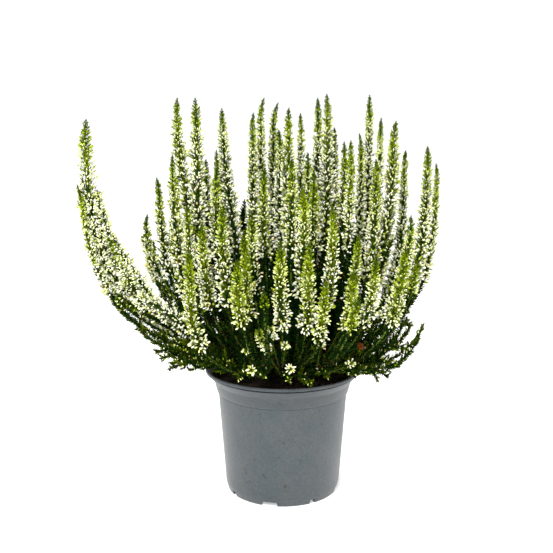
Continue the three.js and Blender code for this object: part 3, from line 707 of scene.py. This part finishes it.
# ---- materials ----
class Look:
    """A procedural material in the making."""

    def __init__(self, name, roughness, gloss=0.15):
        self.material = bpy.data.materials.new(name)
        self.material.use_nodes = True
        self.tree = self.material.node_tree
        self.surface = self.tree.nodes["Principled BSDF"]
        self.surface.inputs["Roughness"].default_value = roughness
        self.surface.inputs["Specular IOR Level"].default_value = gloss

    def node(self, kind, **settings):
        made = self.tree.nodes.new("ShaderNode" + kind)
        for key, value in settings.items():
            setattr(made, key, value)
        return made

    def link(self, source, target):
        self.tree.links.new(source, target)

    def number(self, name):
        return self.node("Attribute", attribute_name=name).outputs["Fac"]

    def ramp(self, source, *stops):
        made = self.node("ValToRGB")
        elements = made.color_ramp.elements
        while len(elements) < len(stops):
            elements.new(0.5)
        for element, (position, colour) in zip(elements, stops):
            element.position = position
            element.color = (*colour, 1)
        self.link(source, made.inputs["Fac"])
        return made.outputs["Color"]

    def greys(self, source, *stops):
        """A ramp of greys from pairs of position and grey."""
        return self.ramp(source, *((position, (grey,) * 3) for position, grey in stops))

    def mix(self, a, b, factor, blend="MIX"):
        made = self.node("Mix", data_type="RGBA", blend_type=blend)
        for value, index in ((factor, 0), (a, 6), (b, 7)):
            if isinstance(value, (int, float)):
                made.inputs[index].default_value = value
            elif isinstance(value, tuple):
                made.inputs[index].default_value = (*value, 1)
            else:
                self.link(value, made.inputs[index])
        return made.outputs[2]

    def times(self, a, b):
        return self.mix(a, b, 1.0, "MULTIPLY")

    def math(self, operation, a, b=0.0):
        made = self.node("Math", operation=operation)
        for value, socket in zip((a, b), made.inputs):
            if isinstance(value, (int, float)):
                socket.default_value = value
            else:
                self.link(value, socket)
        return made.outputs[0]

    def noise(self, scale, detail=3.0, roughness=0.6):
        made = self.node("TexNoise")
        made.inputs["Scale"].default_value = scale
        made.inputs["Detail"].default_value = detail
        made.inputs["Roughness"].default_value = roughness
        self.link(self.node("TexCoord").outputs["Object"], made.inputs["Vector"])
        return made.outputs["Fac"]

    def colour(self, source):
        self.link(source, self.surface.inputs["Base Color"])

    def bump(self, source, distance, strength=1.0):
        made = self.node("Bump")
        made.inputs["Distance"].default_value = distance
        made.inputs["Strength"].default_value = strength
        self.link(source, made.inputs["Height"])
        self.link(made.outputs["Normal"], self.surface.inputs["Normal"])


def bud_look():
    look = Look("heather_bud", 0.6, gloss=0.05)
    ripe, shade, tint = map(look.number, ("ripe", "shade", "tint"))
    ground = look.ramp(
        ripe,
        (0.0, (0.03, 0.065, 0.001)),
        (0.3, (0.13, 0.20, 0.002)),
        (0.55, (0.38, 0.48, 0.015)),
        (0.8, (0.93, 0.96, 0.47)),
        (1.0, (0.99, 0.99, 0.9)),
    )
    base = look.greys(shade, (0.0, 1), (0.2, 0.8), (0.47, 0))
    green = look.mix(ground, (0.12, 0.19, 0.003), look.math("MULTIPLY", base, 0.85))
    warm = look.ramp(
        tint,
        (0.0, (0.94, 0.98, 0.85)),
        (0.5, (1, 1, 1)),
        (0.95, (1, 0.99, 0.94)),
        (1.0, (0.8, 0.6, 0.42)),
    )
    look.colour(look.times(green, warm))
    return look.material


def leaf_look():
    look = Look("heather_leaf", 0.7, gloss=0.02)
    ripe, shade, tint = map(look.number, ("ripe", "shade", "tint"))
    ground = look.ramp(
        ripe,
        (0.0, (0.0012, 0.006, 0.001)),
        (0.3, (0.010, 0.042, 0.005)),
        (0.4, (0.06, 0.085, 0.001)),
        (0.6, (0.17, 0.26, 0.003)),
        (1.0, (0.44, 0.53, 0.01)),
    )
    light = look.ramp(shade, (0.0, (0.6, 0.6, 0.6)), (1.0, (1.25, 1.2, 1.0)))
    lit = look.times(ground, light)
    dry = look.greys(tint, (0.0, 0), (0.93, 0), (0.97, 1))
    brown = look.ramp(tint, (0.999, (0.12, 0.05, 0.015)), (1.0, (0.19, 0.036, 0.01)))
    look.colour(look.mix(lit, brown, look.math("MULTIPLY", dry, 0.75)))
    return look.material


def stem_look():
    look = Look("heather_stem", 0.7)
    ground = look.ramp(
        look.number("shade"),
        (0.0, (0.03, 0.018, 0.009)),
        (0.3, (0.07, 0.05, 0.016)),
        (0.6, (0.08, 0.13, 0.012)),
        (1.0, (0.11, 0.2, 0.015)),
    )
    grain = look.noise(900.0, 4.0)
    look.colour(look.times(ground, look.greys(grain, (0.3, 0.7), (0.7, 1.15))))
    look.bump(grain, 0.0002)
    return look.material


def own(name, mesh, looks, node):
    """A finer piece in the place of a node."""
    for material in looks:
        mesh.materials.append(material)
    piece = bpy.data.objects.new(name, mesh)
    bpy.context.scene.collection.objects.link(piece)
    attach(piece, "root")
    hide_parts(node)


# ---- the pot ----
POT_SEGMENTS = 128
NOTCHES = 8
FIRST_NOTCH_DEG = -103.6
NOTCH_WIDTHS = (11.0, 4.5)
NOTCH_HEIGHT = 3.4
FOOT_RADIUS = 42.9
NOTCH_DEPTH = 10.0
NOTCH_FLARE = 1.25  # a notch is this much wider at the floor than at its top
DRAIN_RADIUS = 4.0
DRAIN_CIRCLE = 28.0
SHARP_EDGE = math.radians(40)
# radius, height and the rounding of each corner, from the middle of the underside round the
# outside to the middle of the floor
POT_CORNERS = [
    (15.0, 0.0, 0.3), (16.5, 4.0, 0.5), (39.7, 4.0, 0.5), (39.7, 0.0, 0.4), (42.9, 0.0, 0.6),
    (44.6, 6.1, 0.9), (49.9, 78.2, 0.2), (49.7, 78.8, 0.2), (51.0, 79.4, 0.4), (53.2, 88.0, 1.0),
    (57.8, 93.9, 0.2), (55.9, 94.2, 0.1), (55.9, 95.5, 0.1), (59.3, 95.4, 0.1), (60.0, 95.4, 0.3),
    (60.0, 97.6, 0.6), (58.4, 97.6, 0.6), (51.6, 88.0, 2.0), (48.8, 79.3, 2.0), (43.4, 5.4, 1.0),
]


def rounded(corners, steps=3):
    """A line through the corners, each replaced by a short arc."""
    line = []
    for i, (r, z, size) in enumerate(corners):
        here = np.array([r, z])
        before = np.array(corners[i - 1][:2]) if i else np.array([0.0, z])
        after = np.array(corners[i + 1][:2]) if i + 1 < len(corners) else np.array([0.0, z])
        cut = min(size, 0.45 * np.linalg.norm(before - here), 0.45 * np.linalg.norm(after - here))
        start, end = here + unit(before - here) * cut, here + unit(after - here) * cut
        line += [tuple(p) for p in bezier(start, here, end, steps + 1)]
    return line


def turned(bm, line, segments):
    """Faces of revolution round +Z, closed on the axis at both ends."""
    rings = []
    for r, z in line:
        angles = [2 * math.pi * k / segments for k in range(segments)]
        rings.append([bm.verts.new((r * math.cos(a), r * math.sin(a), z)) for a in angles])
    for lower, upper in zip(rings, rings[1:]):
        for k in range(segments):
            j = (k + 1) % segments
            bm.faces.new((lower[k], lower[j], upper[j], upper[k]))
    for ring, z in ((rings[0], line[0][1]), (rings[-1], line[-1][1])):
        middle = bm.verts.new((0, 0, z))
        for k in range(segments):
            bm.faces.new((ring[(k + 1) % segments], ring[k], middle))
    bmesh.ops.recalc_face_normals(bm, faces=bm.faces)


def shaded(mesh):
    mesh.shade_smooth()
    mesh.set_sharp_from_angle(angle=SHARP_EDGE)
    return mesh


def finished(bm, name):
    bmesh.ops.scale(bm, vec=(MM,) * 3, verts=bm.verts)
    mesh = bpy.data.meshes.new(name)
    bm.to_mesh(mesh)
    bm.free()
    return shaded(mesh)


def foot_cutter():
    """The notches in the foot ring and the drain holes, as one mesh to cut with."""
    bm = bmesh.new()
    for i in range(NOTCHES):
        width = NOTCH_WIDTHS[i % 2]
        made = bmesh.ops.create_cube(bm, size=1.0)["verts"]
        bmesh.ops.scale(bm, vec=(NOTCH_DEPTH, width, 2 * NOTCH_HEIGHT), verts=made)
        for v in made:
            if v.co.z < 0:
                v.co.y *= NOTCH_FLARE
        bmesh.ops.translate(bm, vec=(FOOT_RADIUS, 0, 0), verts=made)
        turn = Matrix.Rotation(math.radians(FIRST_NOTCH_DEG + i * 360 / NOTCHES), 3, "Z")
        bmesh.ops.rotate(bm, matrix=turn, verts=made)
    for i in range(4):
        made = bmesh.ops.create_cone(
            bm, cap_ends=True, segments=24, radius1=DRAIN_RADIUS, radius2=DRAIN_RADIUS, depth=8
        )["verts"]
        a = (i + 0.5) * math.pi / 2
        place = (DRAIN_CIRCLE * math.cos(a), DRAIN_CIRCLE * math.sin(a), 5)
        bmesh.ops.translate(bm, vec=place, verts=made)
    return finished(bm, "foot_cutter")


def pot_mesh():
    bm = bmesh.new()
    turned(bm, rounded(POT_CORNERS), POT_SEGMENTS)
    piece = bpy.data.objects.new("pot_body", finished(bm, "pot_body"))
    cutter = bpy.data.objects.new("foot_cutter", foot_cutter())
    for made in (piece, cutter):
        bpy.context.scene.collection.objects.link(made)
    cut = piece.modifiers.new("cut", "BOOLEAN")
    cut.operation = "DIFFERENCE"
    cut.solver = "EXACT"
    cut.object = cutter
    shown = piece.evaluated_get(bpy.context.evaluated_depsgraph_get())
    mesh = shaded(bpy.data.meshes.new_from_object(shown))
    mesh.materials.clear()
    for made in (piece, cutter):
        bpy.data.objects.remove(made)
    # the inside is painted dark, up to just under the lip's top: partly peat dust, partly painted shade
    place = np.empty(3 * len(mesh.vertices), np.float32)
    mesh.vertices.foreach_get("co", place)
    x, y, z = place.reshape(-1, 3).T / MM
    wall, heights, _ = zip(*POT_CORNERS[:-5:-1])
    inside = (np.hypot(x, y) < np.interp(z, heights, wall) + 0.4) & (z > 5)
    mesh.attributes.new("inside", "FLOAT", "POINT").data.foreach_set("value", inside.astype(np.float32))
    return mesh


def pot_look():
    look = Look("pot_plastic", 0.48, gloss=0.45)
    look.surface.inputs["Sheen Weight"].default_value = 0.2
    look.surface.inputs["Sheen Roughness"].default_value = 0.5
    cloudy = look.noise(26.0, 4.0, 0.65)
    fine = look.noise(520.0, 3.0)
    ground = look.ramp(
        cloudy,
        (0.30, (0.034, 0.045, 0.053)),
        (0.45, (0.041, 0.054, 0.062)),
        (0.55, (0.050, 0.059, 0.065)),
        (0.70, (0.037, 0.052, 0.060)),
    )
    grained = look.times(ground, look.greys(fine, (0.35, 0.8), (0.65, 1.12)))
    specks = look.greys(look.noise(260.0, 1.0), (0.69, 0), (0.73, 1))
    height = look.node("SeparateXYZ")
    look.link(look.node("TexCoord").outputs["Object"], height.inputs[0])
    # from the step up the pot is painted darker, most on the band under the lip: painted shade from the
    # lip
    painted_lip_shade = look.greys(height.outputs["Z"], (0.0785, 1), (0.0795, 0.78), (0.096, 0.84))
    lip_shaded = look.times(grained, painted_lip_shade)
    marked = look.mix(lip_shaded, (0.02, 0.019, 0.017), look.math("MULTIPLY", specks, 0.85))
    # the inside is darkened with peat dust and with painted shade
    dust_and_shade = look.greys(look.noise(90.0, 4.0), (0.3, 0.7), (0.6, 1))
    peat_and_shade = look.math("MULTIPLY", look.number("inside"), dust_and_shade)
    look.colour(look.mix(marked, (0.012, 0.009, 0.006), peat_and_shade))
    look.bump(fine, 0.00012)
    return look.material


# ---- the soil ----
SOIL_RIM = 54.4
SOIL_SIDE = [(51.0, 88.0), (48.3, 79.3), (43.0, 5.8)]  # radius and height, down the pot's wall
SOIL_RINGS = 44
SOIL_SEGMENTS = 120
CRUMBS = 700
LUMPS = dict(count=14, shortest=7, longest=22)
GRAINS = dict(count=30, shortest=1.6, longest=5)


def waves(x, y, rng, count, shortest, longest):
    """A seeded bumpy surface, between about -1 and 1."""
    total = np.zeros_like(x)
    for _ in range(count):
        length = rng.uniform(shortest, longest)
        a = rng.uniform(0, 2 * math.pi)
        wave = np.sin((x * math.cos(a) + y * math.sin(a)) * 2 * math.pi / length + rng.uniform(0, 6))
        total += wave * length / longest
    return total / (0.45 * count)


def soil_mesh():
    rng = np.random.default_rng(SEED)
    heap = Heap()
    share = np.linspace(0, 1, SOIL_RINGS) ** 0.8
    a = 2 * math.pi * np.arange(SOIL_SEGMENTS) / SOIL_SEGMENTS
    x = SOIL_RIM * share[:, None] * np.cos(a)
    y = SOIL_RIM * share[:, None] * np.sin(a)
    z = SOIL_TOP - 0.6 + 1.0 * (1 - share[:, None] ** 2)
    z = z + waves(x, y, rng, **LUMPS) * 0.9 + waves(x, y, rng, **GRAINS) * 0.7
    top = np.stack([x, y, z], -1).reshape(-1, 3)
    side = [np.stack([r * np.cos(a), r * np.sin(a), np.full(SOIL_SEGMENTS, h)], -1) for r, h in SOIL_SIDE]
    places = np.concatenate([top, *side, [[0, 0, SOIL_SIDE[-1][1]]]])
    faces = []
    last_row = SOIL_RINGS + len(SOIL_SIDE) - 1
    for row in range(last_row):
        for k in range(SOIL_SEGMENTS):
            p, q = (row * SOIL_SEGMENTS + j % SOIL_SEGMENTS for j in (k, k + 1))
            faces += [(p, p + SOIL_SEGMENTS, q + SOIL_SEGMENTS), (p, q + SOIL_SEGMENTS, q)]
    last = last_row * SOIL_SEGMENTS
    faces += [(last + k, len(places) - 1, last + (k + 1) % SOIL_SEGMENTS) for k in range(SOIL_SEGMENTS)]
    none = np.zeros(len(places))
    heap.add(places, np.array(faces), 0, none, none, none)
    crumb = ring_template([(0.15, 0.75), (0.5, 1.0), (0.85, 0.7)], sides=5)
    radius = SOIL_RIM * np.sqrt(rng.uniform(0, 1, CRUMBS)) * 0.97
    b = rng.uniform(0, 2 * math.pi, CRUMBS)
    origins = np.stack([radius * np.cos(b), radius * np.sin(b), np.full(CRUMBS, SOIL_TOP)], -1)
    origins[:, 2] += 0.9 * (1 - (radius / SOIL_RIM) ** 2) - rng.uniform(0, 1.2, CRUMBS)
    directions = unit(rng.normal(0, 1, (CRUMBS, 3)) * [1, 1, 0.5])
    sizes = rng.uniform(1.0, 3.4, CRUMBS) ** 1.2
    widths = sizes * rng.uniform(0.3, 0.5, CRUMBS)
    tint = rng.uniform(0, 1, CRUMBS)
    heap.grow(crumb, 0, origins, directions, sizes, widths, none[:CRUMBS], tint)
    return heap.mesh("soil")


def soil_look():
    look = Look("peat", 0.95)
    grain = look.noise(420.0, 5.0, 0.7)
    patch = look.noise(60.0, 2.0)
    ground = look.ramp(
        grain,
        (0.3, (0.006, 0.004, 0.003)),
        (0.5, (0.018, 0.012, 0.008)),
        (0.72, (0.05, 0.033, 0.02)),
    )
    look.colour(look.times(ground, look.greys(patch, (0.35, 0.7), (0.7, 1.3))))
    look.bump(grain, 0.0006)
    return look.material


own("nursery_pot", pot_mesh(), [pot_look()], "pot")
own("peat_soil", soil_mesh(), [soil_look()], "soil")
plant_looks = [bud_look(), leaf_look(), stem_look()]
for name, spray in SPRAYS.items():
    own("heather_" + name, spray_mesh(name, **spray), plant_looks, "spray_" + name)

# ---- floor, light and camera ----
CAMERA_PLACE = (-0.0048, -0.700, 0.304)
CAMERA_PITCH = 10.96
LENS = 60.74
FLOOR_HALF = 12.0

camera = bpy.data.objects.new("camera", bpy.data.cameras.new("camera"))
camera.data.lens = LENS
camera.data.sensor_width = 36.0
camera.location = CAMERA_PLACE
camera.rotation_euler = (math.radians(90 - CAMERA_PITCH), 0, 0)
camera.data.clip_start = 0.02
camera.data.clip_end = 60
bpy.context.scene.collection.objects.link(camera)
bpy.context.scene.camera = camera


def floor_look():
    """A pale sweep that glows with painted light, and glows less near the pot, which paints a soft shadow
    round its foot.
    """
    look = Look("floor", 0.7)
    soft = look.noise(3.0, 2.0)
    look.colour(look.greys(soft, (0.3, 0.76), (0.7, 0.78)))
    away = look.node("VectorMath", operation="LENGTH")
    look.link(look.node("TexCoord").outputs["Object"], away.inputs[0])
    # painted light: the floor's glow, dimmed near the pot's foot as a painted shadow
    glow = look.greys(away.outputs["Value"], (0.042, 0.6), (0.06, 0.93), (0.12, 1))
    look.link(glow, look.surface.inputs["Emission Color"])
    look.surface.inputs["Emission Strength"].default_value = 0.7
    return look.material


floor_mesh = bpy.data.meshes.new("floor")
corners = [(FLOOR_HALF * x, FLOOR_HALF * y, 0) for x, y in ((-1, -1), (1, -1), (1, 1), (-1, 1))]
floor_mesh.from_pydata(corners, [], [(0, 1, 2, 3)])
floor_mesh.materials.append(floor_look())
floor = bpy.data.objects.new("floor", floor_mesh)
bpy.context.scene.collection.objects.link(floor)


def softbox(name, place, aim, size, power):
    light = bpy.data.lights.new(name, "AREA")
    light.shape = "RECTANGLE"
    light.size, light.size_y = size
    light.energy = power
    lamp = bpy.data.objects.new(name, light)
    lamp.location = place
    lamp.rotation_euler = (Vector(aim) - Vector(place)).to_track_quat("-Z", "Y").to_euler()
    bpy.context.scene.collection.objects.link(lamp)


softbox("key", (-0.38, -1.25, 1.2), (0, 0, 0.15), (0.7, 0.7), 30.0)
softbox("fill", (1.2, -0.9, 0.8), (0, 0, 0.15), (0.9, 0.9), 6.5)
softbox("top", (0.1, 0.3, 1.5), (0, 0, 0.1), (1.0, 1.0), 8.0)

world = bpy.data.worlds.new("studio")
bpy.context.scene.world = world
world.use_nodes = True
tree = world.node_tree
backdrop = tree.nodes["Background"]
kinds = ("TexCoord", "SeparateXYZ", "ValToRGB")
coords, split, ramp = (tree.nodes.new("ShaderNode" + kind) for kind in kinds)
tree.links.new(coords.outputs["Generated"], split.inputs[0])
tree.links.new(split.outputs["Z"], ramp.inputs["Fac"])
tree.links.new(ramp.outputs["Color"], backdrop.inputs["Color"])
# white near the floor, and a dim warm grey from there up
low, high = ramp.color_ramp.elements
low.position, low.color = 0.16, (1.0, 1.0, 1.0, 1)
high.position, high.color = 0.4, (0.47, 0.46, 0.42, 1)
backdrop.inputs["Strength"].default_value = 1.05
bpy.context.scene.view_settings.view_transform = "Standard"
